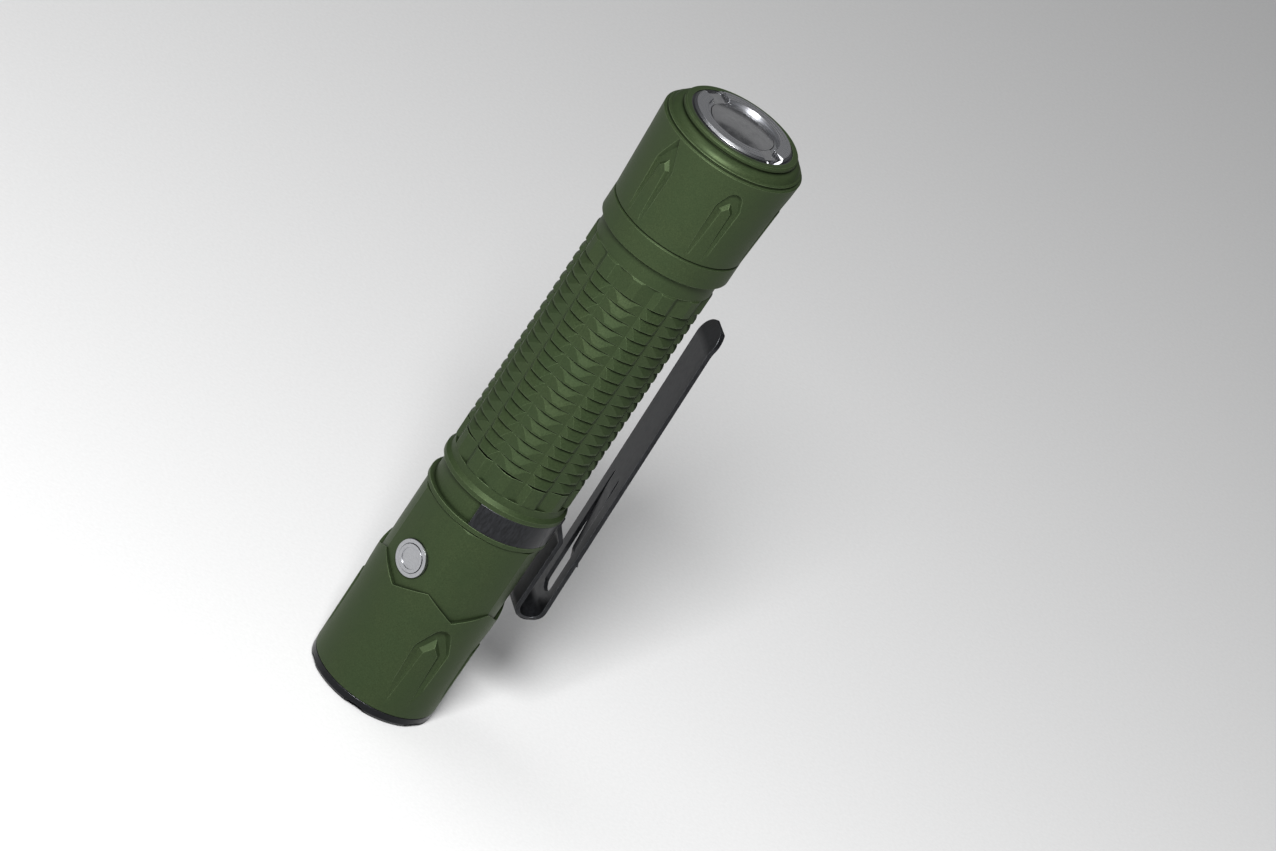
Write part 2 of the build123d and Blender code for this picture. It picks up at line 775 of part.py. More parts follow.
with BuildPart() as pocket_clip:
    # open ring that snaps into the groove of the tube
    with BuildSketch(Plane.XY.offset(z_clip_ring)):
        with BuildLine():
            reach = 180 - clip_opening / 2
            CenterArc((0, 0), clip_middle, -reach, 2 * reach)
        trace(line_width=clip_thickness)
    extrude(amount=clip_ring_width)
    # arm towards the head, bend, and plate back towards the tail
    with BuildSketch(Plane.XZ):
        with BuildLine():
            arm = FilletPolyline(
                (clip_middle, z_clip_ring + 4.2),
                (clip_middle, z_clip_ring + 2.6),
                (arm_radius, z_clip_ring - 0.9),
                (arm_radius, z_bend),
                radius=1.1,
            )
            bend = CenterArc(((arm_radius + plate_radius_bend) / 2, z_bend), bend_radius, 180, 180)
            plate = FilletPolyline(
                (plate_radius_bend, z_bend),
                (plate_radius_tip, z_flare),
                (plate_radius_tip + 0.9, plate_end),
                radius=6,
            )
        trace(line_width=clip_thickness)
    extrude(amount=clip_width / 2, both=True)
    # the plate's outline: rounded tip, narrower arm, slot for the tongue
    with BuildSketch(Plane.YZ) as plate_blank:
        with Locations((0, (bend_bottom - 1 + plate_end) / 2)):
            RectangleRounded(clip_width, plate_end - bend_bottom + 2, clip_width / 2 - 0.3)
        with Locations((0, (z_clip_ring - 0.5 + bend_bottom) / 2)):
            Rectangle(arm_width, z_clip_ring - 0.5 - bend_bottom + 2)
        with Locations((0, z_clip_ring + clip_ring_width / 2)):
            Rectangle(4 * clip_inner, clip_ring_width)
    extrude(amount=2 * plate_radius_bend, both=True, mode=Mode.INTERSECT)
    with BuildSketch(Plane.YZ.offset(plate_radius_tip - 1.5)):
        with Locations((0, (slot_start + slot_end) / 2)):
            SlotOverall(slot_end - slot_start, slot_width, rotation=90)
    extrude(amount=5, mode=Mode.SUBTRACT)
    # tongue that springs outwards from the far end of the slot
    with BuildSketch(Plane.XZ):
        with BuildLine():
            FilletPolyline(
                (plate_radius(slot_end + 1.5), slot_end + 1.5),
                (plate_radius(slot_end - 3), slot_end - 3),
                (tongue_radius - 0.9, tongue_tip + 2.5),
                (tongue_radius, tongue_tip),
                radius=2.5,
            )
        trace(line_width=clip_thickness)
    extrude(amount=tongue_width / 2, both=True)
save(pocket_clip, "pocket_clip")

# ------------------------------------------------------------------ cell

positive_radius = 4.3
can_radius = cell_radius - sleeve_thickness

with BuildPart() as cell_can:
    with BuildSketch(Plane.XY.offset(z_can)):
        Circle(can_radius)
    extrude(amount=z_cell_rear - z_can)
    fillet(cell_can.edges().filter_by(GeomType.CIRCLE), radius=0.8)
save(cell_can, "cell_can")

with BuildPart() as cell_sleeve:
    with BuildSketch(Plane.XY.offset(z_can + 0.9)):
        Circle(cell_radius)
        Circle(can_radius, mode=Mode.SUBTRACT)
    extrude(amount=z_cell_rear - z_can - 1.8)
save(cell_sleeve, "cell_sleeve")

with BuildPart() as cell_top_insulator:
    with BuildSketch(Plane.XY.offset(z_can - 0.4)):
        Circle(can_radius - 1.2)
        Circle(positive_radius + slip, mode=Mode.SUBTRACT)
    extrude(amount=0.4)
save(cell_top_insulator, "cell_top_insulator")

with BuildPart() as cell_positive_button:
    with BuildSketch(Plane.XY.offset(z_cell)):
        Circle(positive_radius)
    extrude(amount=positive_height)
    chamfer(cell_positive_button.faces().sort_by(Axis.Z)[0].edges(), length=0.25)
save(cell_positive_button, "cell_positive_button")

# ------------------------------------------------------------------ tail cap

cap_mouth = collar_radius
cap_shoulder = cap_mouth + shoulder_flare
z_shoulder = z_rim - 3.3
ridge_front = cap_shoulder - 1.05
ridge_rear = rim_radius + 0.2

tail_arrow_front = z_seam + 1.2
tail_arrow_tip = z_seam + 17.3
tail_arrow_shoulder = tail_arrow_tip - 4.3
tail_arrow_island = (tail_arrow_tip - 4.9, tail_arrow_tip - 3.2, 1.4)
tail_arrow_half = 2.05
tail_arrow_corner = 1.1
tail_arrow_reach = 1.2
# the recess floor follows a little of the cap's flare
tail_arrow_floor = (cap_mouth - 0.07, cap_mouth + 0.04)

tail_arrow_cutters = [
    arrow_cutter(
        tail_clock + side * 360 / sides,
        tail_arrow_floor,
        tail_arrow_reach,
        tail_arrow_front,
        tail_arrow_shoulder,
        tail_arrow_tip,
        tail_arrow_half,
        tail_arrow_corner,
        tail_arrow_island,
    )
    for side in range(sides)
]

with BuildPart() as tail_cap_housing:
    with BuildSketch(Plane.XZ):
        with BuildLine():
            Polyline(
                (cap_seal_bore + 0.3, z_seam),
                (cap_mouth - 0.35, z_seam),
                (cap_mouth, z_seam + 0.35),
                (cap_shoulder, z_shoulder),
                (cap_shoulder - 0.25, z_shoulder + 0.25),
                # stepped cone: groove, fine ridge and hairline
                (cap_shoulder - 0.7, z_shoulder + 0.3),
                (cap_shoulder - 0.7, z_shoulder + 0.55),
                (cap_shoulder - 0.55, z_shoulder + 0.65),
                (cap_shoulder - 0.75, z_shoulder + 0.85),
                (cap_shoulder - 0.95, z_shoulder + 0.9),
                (ridge_front, z_shoulder + 1.0),
            )
            # broad rounded ridge
            ThreePointArc(
                (ridge_front, z_shoulder + 1.0),
                ((ridge_front + ridge_rear) / 2 + 0.14, z_shoulder + 1.72),
                (ridge_rear, z_shoulder + 2.1),
            )
            # groove under the rim, then the rim
            Polyline(
                (ridge_rear, z_shoulder + 2.1),
                (rim_radius - 0.25, z_shoulder + 2.15),
                (rim_radius - 0.25, z_shoulder + 2.4),
                (rim_radius, z_shoulder + 2.5),
                (rim_radius, z_rim - 0.25),
                (rim_radius - 0.25, z_rim),
                (pocket_radius, z_rim),
                (pocket_radius, z_boot),
                (3.4, z_boot),
                (3.4, z_web),
                (switch_bay_radius, z_web),
                (switch_bay_radius, z_switch_base),
                (tail_board_radius + slip, z_switch_base),
                (tail_board_radius + slip, z_tail_board),
                (nut_radius + slip, z_tail_board),
                (nut_radius + slip, z_nut),
                (cap_thread_bore, z_nut),
                (cap_thread_bore, z_tail_groove + groove_width + 0.3),
                (cap_seal_bore, z_tail_groove + groove_width + 0.1),
                (cap_seal_bore, z_seam + 0.3),
                (cap_seal_bore + 0.3, z_seam),
            )
        make_face()
    revolve(axis=Axis.Z)
    add(tail_arrow_cutters, mode=Mode.SUBTRACT)
save(tail_cap_housing, "tail_cap_housing")

# ------------------------------------------------------------------ inside the tail cap

with BuildPart() as tail_ring_nut:
    with BuildSketch(Plane.XY.offset(z_nut)):
        Circle(nut_radius)
        Circle(nut_radius - 2.0, mode=Mode.SUBTRACT)
    extrude(amount=nut_height)
    # two spanner notches
    with BuildSketch(Plane.XY.offset(z_nut)):
        with PolarLocations(nut_radius - 2.0, 2):
            Circle(0.9)
    extrude(amount=nut_height / 2, mode=Mode.SUBTRACT)
save(tail_ring_nut, "tail_ring_nut")

with BuildPart() as tail_switch_board:
    with BuildSketch(Plane.XY.offset(z_tail_board)):
        Circle(tail_board_radius)
    extrude(amount=tail_board_thickness)
save(tail_switch_board, "tail_switch_board")

tail_contact_spring = coil(z_cell_rear, tail_spring_length, 3.6, 2.5, True)
save(tail_contact_spring, "tail_contact_spring")

switch_body_radius = 5.0
plunger_radius = 1.6
plunger_base = z_switch_base + tail_button_travel + 0.7
z_plunger_top = z_web + 0.6

with BuildPart() as tail_switch_body:
    with BuildSketch(Plane.XY.offset(z_switch_base)):
        Circle(switch_body_radius)
    extrude(amount=switch_height)
    with BuildSketch(Plane.XY.offset(z_switch_base + 0.5)):
        Circle(plunger_radius + slip)
    extrude(amount=switch_height, mode=Mode.SUBTRACT)
save(tail_switch_body, "tail_switch_body")

with BuildPart() as tail_switch_plunger:
    with BuildSketch(Plane.XY.offset(plunger_base)):
        Circle(plunger_radius)
    extrude(amount=z_plunger_top - plunger_base)
    fillet(tail_switch_plunger.faces().sort_by(Axis.Z)[-1].edges(), radius=0.4)
save(tail_switch_plunger, "tail_switch_plunger")

with BuildPart() as tail_magnet:
    with BuildSketch(Plane.XY.offset(z_switch_base)):
        Circle(switch_bay_radius - slip)
        Circle(switch_body_radius + 0.5, mode=Mode.SUBTRACT)
    extrude(amount=switch_height)
    chamfer(tail_magnet.edges().filter_by(GeomType.CIRCLE), length=0.2)
save(tail_magnet, "tail_magnet")

boot_nub = 3.1

with BuildPart() as tail_button_boot:
    with BuildSketch(Plane.XY.offset(z_boot)):
        Circle(pocket_radius - slip)
    extrude(amount=boot_thickness)
    with BuildSketch(Plane.XY.offset(z_plunger_top)):
        Circle(boot_nub)
    extrude(amount=z_boot - z_plunger_top)
save(tail_button_boot, "tail_button_boot")

with BuildPart() as tail_ring_insulator:
    with BuildSketch(Plane.XZ):
        with BuildLine():
            Polyline(
                (contact_radius - 1.3, z_insulator),
                (insulator_radius, z_insulator),
                (insulator_radius, z_rim - 0.15),
                (contact_radius + slip / 2, z_rim - 0.15),
                (contact_radius + slip / 2, z_contact),
                (contact_radius - 1.3, z_contact),
                close=True,
            )
        make_face()
    revolve(axis=Axis.Z)
save(tail_ring_insulator, "tail_ring_insulator")

# ------------------------------------------------------------------ tail contact and button

flange_radius = button_radius + 1.5
flange_bay = flange_radius + 0.2
moat_width = 0.8
crescent_edge = 0.4
ear_width = 4.2
ear_slot = ear_width + 2 * button_play
crescent_half_angle = 74.0

with BuildPart() as tail_contact_ring:
    with BuildSketch(Plane.XZ):
        with BuildLine():
            Polyline(
                (button_hole, z_contact_ceiling),
                (flange_bay, z_contact_ceiling),
                (flange_bay, z_contact),
                (contact_radius, z_contact),
                (contact_radius, z_crescent - crescent_edge),
                (contact_radius - crescent_edge, z_crescent),
                (button_hole + moat_width, z_crescent),
                (button_hole + moat_width, z_moat),
                (button_hole, z_moat),
                close=True,
            )
        make_face()
    revolve(axis=Axis.Z)
    # slots for the button's ears, open from the moat to the underside
    with BuildSketch(Plane.XY.offset(z_contact)):
        with PolarLocations(button_hole, 2, start_angle=tail_clock + 90):
            with Locations((ear_reach + button_play - button_hole - 2, 0)):
                Rectangle(4, ear_slot)
    extrude(amount=z_crescent, mode=Mode.SUBTRACT)
    # sloping ends of the two crescents beside the ears
    for end in (1, -1):
        for crescent in (0, 180):
            lean = radians(tail_clock + crescent + end * crescent_half_angle)
            slope = Plane(
                origin=(contact_radius * cos(lean), contact_radius * sin(lean), z_crescent),
                x_dir=(cos(lean), sin(lean), 0),
                z_dir=(-end * sin(lean), end * cos(lean), 1.5),
            )
            with BuildSketch(slope):
                Rectangle(8, 6)
            extrude(amount=1.5, mode=Mode.SUBTRACT)
save(tail_contact_ring, "tail_contact_ring")

button_flange = 0.7
z_flange = z_contact_ceiling - 0.05 - button_flange
dome_rise = 0.75
dome_curve = (button_radius**2 + dome_rise**2) / (2 * dome_rise)
dome_sweep = degrees(asin(button_radius / dome_curve))

with BuildPart() as tail_button:
    with BuildSketch(Plane.XZ):
        with BuildLine():
            crown = CenterArc((0, z_button_top - dome_curve), dome_curve, 90 - dome_sweep, dome_sweep)
            Polyline(
                crown @ 1,
                (0, z_insulator),
                (3.0, z_insulator),
                (3.0, z_flange),
                (flange_radius, z_flange),
                (flange_radius, z_flange + button_flange),
                (button_radius, z_flange + button_flange),
                crown @ 0,
            )
        make_face()
    revolve(axis=Axis.Z)
    with BuildSketch(Plane.XY.offset(z_flange + button_flange)) as ears:
        with PolarLocations(0, 2, start_angle=tail_clock + 90):
            with Locations((ear_reach / 2, 0)):
                Rectangle(ear_reach, ear_width)
        fillet(ears.vertices(), radius=0.3)
    extrude(amount=z_moat - z_flange - button_flange)
save(tail_button, "tail_button")
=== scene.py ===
from math import cos, pi, radians, sin

import bmesh
import bpy
from mathutils import Matrix, Vector


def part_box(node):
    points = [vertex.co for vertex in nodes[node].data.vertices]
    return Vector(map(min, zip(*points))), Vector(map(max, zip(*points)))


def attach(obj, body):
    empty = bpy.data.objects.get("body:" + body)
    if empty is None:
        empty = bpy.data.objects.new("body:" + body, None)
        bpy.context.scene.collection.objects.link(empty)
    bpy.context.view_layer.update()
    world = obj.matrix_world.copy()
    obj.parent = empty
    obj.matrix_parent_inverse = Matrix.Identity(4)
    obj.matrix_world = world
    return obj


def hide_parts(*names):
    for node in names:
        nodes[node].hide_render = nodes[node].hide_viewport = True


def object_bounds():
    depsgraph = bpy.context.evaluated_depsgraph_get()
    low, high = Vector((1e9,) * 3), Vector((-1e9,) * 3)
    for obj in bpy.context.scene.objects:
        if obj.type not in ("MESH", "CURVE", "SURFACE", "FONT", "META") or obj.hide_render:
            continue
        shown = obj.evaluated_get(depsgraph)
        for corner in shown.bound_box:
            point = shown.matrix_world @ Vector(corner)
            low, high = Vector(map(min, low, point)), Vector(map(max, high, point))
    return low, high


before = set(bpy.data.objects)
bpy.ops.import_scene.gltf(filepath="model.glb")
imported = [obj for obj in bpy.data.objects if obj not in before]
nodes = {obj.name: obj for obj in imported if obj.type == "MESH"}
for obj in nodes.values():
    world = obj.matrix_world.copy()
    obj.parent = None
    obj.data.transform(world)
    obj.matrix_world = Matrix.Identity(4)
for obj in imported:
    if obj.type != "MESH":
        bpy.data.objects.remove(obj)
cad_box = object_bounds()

# ------------------------------------------------------------------ head housing
# Turned and milled from aluminium bar, bead-blasted and anodised olive green. The round nose
# carries arrow-shaped recesses, and the rear is milled to a six-sided grip for the fingers.


def linear(colour):
    """Screen colour, 0 to 255 for each part, to the light values that a shader takes."""
    parts = [part / 255 for part in colour]
    return [c / 12.92 if c <= 0.04045 else ((c + 0.055) / 1.055) ** 2.4 for c in parts]


def finish(name, colour, roughness, **sockets):
    """A new finish and its shader. What is the same all over is set on the shader itself."""
    made = bpy.data.materials.new(name)
    made.use_nodes = True
    shader = made.node_tree.nodes["Principled BSDF"]
    shader.inputs["Base Color"].default_value = (*linear(colour), 1)
    shader.inputs["Roughness"].default_value = roughness
    for socket, value in sockets.items():
        shader.inputs[socket.replace("_", " ")].default_value = value
    return made, shader


def wire(made, kind, plugs=(), **settings):
    """Add a node to a finish, plug values or other nodes' outputs into it, and return it."""
    added = made.node_tree.nodes.new(kind)
    for setting, value in settings.items():
        setattr(added, setting, value)
    for socket, value in dict(plugs).items():
        if isinstance(value, bpy.types.NodeSocket):
            made.node_tree.links.new(value, added.inputs[socket])
        else:
            added.inputs[socket].default_value = value
    return added


def place(made, stretch=(1, 1, 1)):
    """The point on the piece in metres, stretched to draw long or flat grain."""
    where = wire(made, "ShaderNodeTexCoord").outputs["Object"]
    return wire(made, "ShaderNodeMapping", {"Vector": where, "Scale": stretch}).outputs["Vector"]


def grain(made, where, size, detail=3.0):
    """Cloudy grain whose patches are about as wide as size, in metres."""
    plugs = {"Vector": where, "Scale": 1 / size, "Detail": detail, "Roughness": 0.6}
    return wire(made, "ShaderNodeTexNoise", plugs).outputs["Fac"]


def shade(made, value, *stops):
    """Colours laid over a value: each stop is where it sits, then its screen colour."""
    ramp = wire(made, "ShaderNodeValToRGB", {"Fac": value})
    points = ramp.color_ramp.elements
    while len(points) < len(stops):
        points.new(0.5)
    for point, (spot, colour) in zip(points, stops):
        point.position = spot
        point.color = (*linear(colour), 1)
    return ramp.outputs["Color"]


def spread(made, value, low, high, at=(0.35, 0.65)):
    """A value stretched between two levels."""
    plugs = {"Value": value, "From Min": at[0], "From Max": at[1], "To Min": low, "To Max": high}
    return wire(made, "ShaderNodeMapRange", plugs).outputs["Result"]


def edges(made, radius, sharp=0.25):
    """1 on sharp edges and 0 on open faces, from how far a rounded edge turns the surface."""
    rounded = wire(made, "ShaderNodeBevel", {"Radius": radius}, samples=6).outputs["Normal"]
    plain = wire(made, "ShaderNodeNewGeometry").outputs["Normal"]
    plugs = {0: rounded, 1: plain}
    match = wire(made, "ShaderNodeVectorMath", plugs, operation="DOT_PRODUCT").outputs["Value"]
    return spread(made, match, 1, 0, at=(1 - sharp, 1))


def hollows(made, reach):
    """1 on open faces, falling towards 0 in grooves and corners narrower than the reach."""
    plugs = {"Distance": reach}
    return wire(made, "ShaderNodeAmbientOcclusion", plugs, samples=8).outputs["AO"]


def blend(made, share, first, second):
    """One colour over another by a share from 0 to 1."""
    mixer = wire(made, "ShaderNodeMix", {"Factor": share}, data_type="RGBA")
    for socket, value in ((6, first), (7, second)):
        if isinstance(value, bpy.types.NodeSocket):
            made.node_tree.links.new(value, mixer.inputs[socket])
        else:
            mixer.inputs[socket].default_value = (*linear(value), 1)
    return mixer.outputs[2]


def relief(made, height, depth, radius=None):
    """Fine relief of a depth in metres, over rounded edges where a radius is given."""
    plugs = {"Height": height, "Distance": depth, "Strength": 1.0}
    if radius:
        plugs["Normal"] = wire(made, "ShaderNodeBevel", {"Radius": radius}, samples=6).outputs["Normal"]
    return wire(made, "ShaderNodeBump", plugs).outputs["Normal"]


def feed(made, shader, **sockets):
    """Plug worked-out values into the shader."""
    for socket, value in sockets.items():
        made.node_tree.links.new(value, shader.inputs[socket.replace("_", " ")])


def dress(made, *names):
    """Give the finish to pieces of the frame."""
    for name in names:
        for holder in nodes[name].material_slots:
            holder.material = made


green, green_shader = finish(
    "green_anodising", (48, 59, 37), 0.44, Metallic=0.3, Specular_IOR_Level=0.3,
)
green_shader.inputs["Specular Tint"].default_value = (*linear((190, 205, 170)), 1)
spot = place(green)
blasted = grain(green, spot, 0.00022, detail=4)
dye = grain(green, spot, 0.006)
speckle = shade(green, blasted, (0.3, (39, 49, 30)), (0.5, (47, 58, 36)), (0.7, (56, 68, 44)))
tint = blend(green, spread(green, dye, 0.0, 0.35), speckle, (42, 56, 35))
# Grooves and corners narrower than 1.2 mm are darkened towards near-black in the base colour: painted
# shade.
groove_shade_mask = hollows(green, 0.0012)
# Sharp outer edges are lightened towards pale green: partly the thinner anodising on edges, partly a
# painted highlight. The groove mask keeps this off inner corners.
worn_and_highlit_edges = wire(
    green, "ShaderNodeMath",
    {0: edges(green, 0.00018), 1: spread(green, groove_shade_mask, 0, 1, at=(0.75, 0.95))},
    operation="MULTIPLY",
).outputs["Value"]
worn_and_highlit_tint = blend(green, spread(green, worn_and_highlit_edges, 0.0, 0.75, at=(0.15, 0.8)), tint, (126, 144, 108))
feed(
    green, green_shader,
    # base colour: painted shade in the grooves, laid over the speckle with its lightened edges
    Base_Color=blend(green, spread(green, groove_shade_mask, 0, 1, at=(0.25, 0.85)), (12, 17, 9), worn_and_highlit_tint),
    Roughness=spread(green, blasted, 0.38, 0.54),
    Normal=relief(green, blasted, 0.000018, radius=0.00012),
)
dress(green, "head_housing")

# ------------------------------------------------------------------ bezel ring
# A steel ring screwed into the mouth of the head and locked with thread glue. It is turned,
# scalloped at the front so that light shows when the head stands on a table, and blackened.

black, black_shader = finish("black_steel", (24, 25, 27), 0.34, Metallic=0.75)
spot = place(black, stretch=(1, 1, 6))
turned = grain(black, spot, 0.0005)
# Sharp edges are lightened towards grey: a painted highlight.
bezel_edge_highlight = edges(black, 0.00015)
feed(
    black, black_shader,
    Base_Color=blend(
        black, spread(black, bezel_edge_highlight, 0, 0.55, at=(0.35, 1)),
        shade(black, turned, (0.35, (17, 18, 20)), (0.65, (31, 32, 35))), (120, 121, 124),
    ),
    Roughness=spread(black, turned, 0.28, 0.42),
    Normal=relief(black, turned, 0.00001, radius=0.00015),
)
dress(black, "bezel_ring")

# ------------------------------------------------------------------ lens and its seal
# A disc of toughened glass with a faint green anti-glare coating, pressed against a nitrile
# ring under the bezel.

glass, glass_shader = finish(
    "coated_glass", (236, 244, 238), 0.02, IOR=1.5, Transmission_Weight=1.0, Coat_Weight=0.4,
)
glass_shader.inputs["Coat Tint"].default_value = (*linear((190, 240, 205)), 1)
haze = grain(glass, place(glass), 0.004)
feed(glass, glass_shader, Roughness=spread(glass, haze, 0.0, 0.03))
dress(glass, "lens")

rubber, rubber_shader = finish("black_rubber", (22, 22, 23), 0.6, Specular_IOR_Level=0.4)
moulded = grain(rubber, place(rubber), 0.0004)
feed(
    rubber, rubber_shader,
    Base_Color=shade(rubber, moulded, (0.35, (16, 16, 17)), (0.65, (30, 30, 31))),
    Roughness=spread(rubber, moulded, 0.5, 0.72),
    Normal=relief(rubber, moulded, 0.00002),
)
dress(rubber, "lens_oring", "front_oring", "tail_oring", "side_switch_seal", "tail_button_boot")

# ------------------------------------------------------------------ reflector
# Turned aluminium bowl, its inside polished and coated in a vacuum; the back is left as
# turned. It drops in behind the lens and its foot stands on the centring ring.

mirror, mirror_shader = finish("mirror_aluminium", (232, 233, 236), 0.06, Metallic=1.0)
peel = grain(mirror, place(mirror), 0.0007, detail=1)
feed(
    mirror, mirror_shader,
    Roughness=spread(mirror, peel, 0.03, 0.09),
    Normal=relief(mirror, peel, 0.000004),
)
dress(mirror, "reflector")

# ------------------------------------------------------------------ light source
# A 5 mm ceramic package with a yellow phosphor chip under a clear silicone dome. It is
# soldered on a copper board with a white mask and centred by a white plastic ring.

plastic, plastic_shader = finish("white_plastic", (232, 231, 225), 0.42, Subsurface_Weight=0.05)
flow = grain(plastic, place(plastic), 0.0015)
feed(
    plastic, plastic_shader,
    Base_Color=shade(plastic, flow, (0.3, (224, 223, 216)), (0.7, (238, 237, 232))),
    Roughness=spread(plastic, flow, 0.36, 0.5),
)
dress(plastic, "led_centering_ring")

copper, copper_shader = finish("copper_board", (205, 128, 92), 0.32, Metallic=0.9)
etched = grain(copper, place(copper), 0.0009)
feed(
    copper, copper_shader,
    Base_Color=shade(copper, etched, (0.3, (178, 104, 72)), (0.7, (221, 146, 108))),
    Roughness=spread(copper, etched, 0.24, 0.42),
)
dress(copper, "led_board")

wrap, wrap_shader = finish("wire_sleeve", (176, 34, 30), 0.45)
drawn = grain(wrap, place(wrap, stretch=(1, 1, 0.2)), 0.0004)
feed(
    wrap, wrap_shader,
    Base_Color=shade(wrap, drawn, (0.3, (150, 26, 24)), (0.7, (190, 44, 38))),
    Roughness=spread(wrap, drawn, 0.38, 0.55),
)
dress(wrap, "led_leads")


def mesh_piece(name, build, made, body, bevel=None):
    """A piece from a function that fills a bmesh, with its finish, riding on a body."""
    shell = bmesh.new()
    build(shell)
    data = bpy.data.meshes.new(name)
    bmesh.ops.recalc_face_normals(shell, faces=shell.faces)
    shell.to_mesh(data)
    shell.free()
    piece = bpy.data.objects.new(name, data)
    bpy.context.scene.collection.objects.link(piece)
    data.materials.append(made)
    for face in data.polygons:
        face.use_smooth = True
    if bevel:
        edge = piece.modifiers.new("edge", "BEVEL")
        edge.width = bevel
        edge.segments = 2
        edge.limit_method = "ANGLE"
        edge.harden_normals = True
    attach(piece, body)
    return piece


def turned_piece(shell, outline, steps):
    """Fill a bmesh with an outline of (radius, height) points swept round the axis."""
    rings = []
    for step in range(steps):
        at = 2 * pi * step / steps
        rings.append([
            shell.verts.new((radius * cos(at), radius * sin(at), height))
            for radius, height in outline
        ])
    for step in range(steps):
        here, there = rings[step], rings[(step + 1) % steps]
        for low in range(len(outline)):
            high = (low + 1) % len(outline)
            corners = [here[low], there[low], there[high], here[high]]
            shell.faces.new(corners)
    bmesh.ops.remove_doubles(shell, verts=shell.verts, dist=1e-7)


led_low, led_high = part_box("led_emitter")
led_side = led_high.x - led_low.x
led_back = led_high.z
base_thickness = 0.0007
led_face = led_back - base_thickness
dome_radius = led_face - led_low.z


def led_base_shell(shell):
    """A square plate with rounded corners."""
    half = led_side / 2
    cut = 0.0003
    rim = []
    for corner in range(4):
        middle = radians(45 + 90 * corner)
        centre = Vector((cos(middle), sin(middle))) * (half - cut) * 2 ** 0.5
        for step in range(5):
            at = middle - pi / 4 + pi / 2 * step / 4
            rim.append((centre.x + cut * cos(at), centre.y + cut * sin(at)))
    levels = [[shell.verts.new((x, y, z)) for x, y in rim] for z in (led_face, led_back)]
    shell.faces.new(levels[0])
    shell.faces.new(list(reversed(levels[1])))
    for step in range(len(rim)):
        after = (step + 1) % len(rim)
        shell.faces.new((levels[0][step], levels[0][after], levels[1][after], levels[1][step]))


white_ceramic, ceramic_shader = finish("led_ceramic", (226, 227, 222), 0.38)
fired = grain(white_ceramic, place(white_ceramic), 0.0003)
feed(
    white_ceramic, ceramic_shader,
    Base_Color=shade(white_ceramic, fired, (0.3, (214, 215, 209)), (0.7, (235, 236, 232))),
    Roughness=spread(white_ceramic, fired, 0.3, 0.5),
)
led_base = mesh_piece("led_base", led_base_shell, white_ceramic, "light", bevel=0.00006)
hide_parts("led_emitter")

chip_half = 0.00115
chip_rise = 0.00018
chip_sink = 0.00005
chip_gap = 0.02  # share of a chip left free along each side


def led_phosphor_shell(shell):
    """Four square chips, close together."""
    for column in range(2):
        for row in range(2):
            corners = []
            for x, y in ((0, 0), (1, 0), (1, 1), (0, 1)):
                corners.append((
                    -chip_half + (column + chip_gap + (1 - 2 * chip_gap) * x) * chip_half,
                    -chip_half + (row + chip_gap + (1 - 2 * chip_gap) * y) * chip_half,
                ))
            front = [shell.verts.new((x, y, led_face - chip_rise)) for x, y in corners]
            back = [shell.verts.new((x, y, led_face + chip_sink)) for x, y in corners]
            shell.faces.new(front)
            shell.faces.new(list(reversed(back)))
            for side in range(4):
                after = (side + 1) % 4
                shell.faces.new((front[side], front[after], back[after], back[side]))


yellow, yellow_shader = finish("phosphor", (240, 205, 60), 0.55)
powder = grain(yellow, place(yellow), 0.00012)
feed(
    yellow, yellow_shader,
    Base_Color=shade(yellow, powder, (0.3, (226, 186, 44)), (0.7, (250, 219, 84))),
    Normal=relief(yellow, powder, 0.00001),
)
led_phosphor = mesh_piece("led_phosphor", led_phosphor_shell, yellow, "light", bevel=0.00002)
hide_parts("led_emitter")


def led_dome_shell(shell):
    """Half a ball, flat on the face of the base."""
    rise = [radians(90 * step / 16) for step in range(17)]
    outline = [(0.0, led_face)]
    outline += [(dome_radius * cos(at), led_face - dome_radius * sin(at)) for at in rise]
    outline[-1] = (0.0, led_face - dome_radius)
    turned_piece(shell, outline, steps=64)


clear, clear_shader = finish(
    "clear_silicone", (250, 250, 246), 0.03, IOR=1.41, Transmission_Weight=1.0,
)
skin = grain(clear, place(clear), 0.0012)
feed(clear, clear_shader, Roughness=spread(clear, skin, 0.01, 0.06))
led_dome = mesh_piece("led_dome", led_dome_shell, clear, "light")
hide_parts("led_emitter")

# ------------------------------------------------------------------ driver
# A round fibreglass board with a coil, a chip and two capacitors on the side that faces the
# heat shelf. A threaded aluminium ring clamps it, and a gold-plated spring meets the cell.

board, board_shader = finish("circuit_board", (24, 78, 50), 0.35, Specular_IOR_Level=0.6)
spot = place(board)
traces = wire(
    board, "ShaderNodeTexBrick",
    {"Vector": spot, "Scale": 420.0, "Mortar Size": 0.03, "Bias": 0.2},
    offset=0.35,
)
glassfibre = grain(board, spot, 0.0006)
feed(
    board, board_shader,
    Base_Color=blend(
        board, traces.outputs["Fac"],
        shade(board, glassfibre, (0.3, (17, 66, 42)), (0.7, (30, 90, 58))), (52, 116, 76),
    ),
    Roughness=spread(board, glassfibre, 0.28, 0.42),
    Normal=relief(board, traces.outputs["Fac"], 0.00003),
)
dress(board, "driver_board", "side_switch_board", "tail_switch_board")

ferrite, ferrite_shader = finish("ferrite", (58, 58, 60), 0.62)
pressed = grain(ferrite, place(ferrite), 0.0003)
feed(
    ferrite, ferrite_shader,
    Base_Color=shade(ferrite, pressed, (0.3, (44, 44, 46)), (0.7, (74, 74, 77))),
    Normal=relief(ferrite, pressed, 0.00003),
)
dress(ferrite, "driver_inductor")

black_mould, mould_shader = finish("black_plastic", (26, 26, 28), 0.5)
sparked = grain(black_mould, place(black_mould), 0.00025)
feed(
    black_mould, mould_shader,
    Base_Color=shade(black_mould, sparked, (0.3, (19, 19, 21)), (0.7, (36, 36, 39))),
    Roughness=spread(black_mould, sparked, 0.42, 0.62),
    Normal=relief(black_mould, sparked, 0.00002),
)
dress(black_mould, "driver_chip", "tail_switch_body", "tail_ring_insulator")

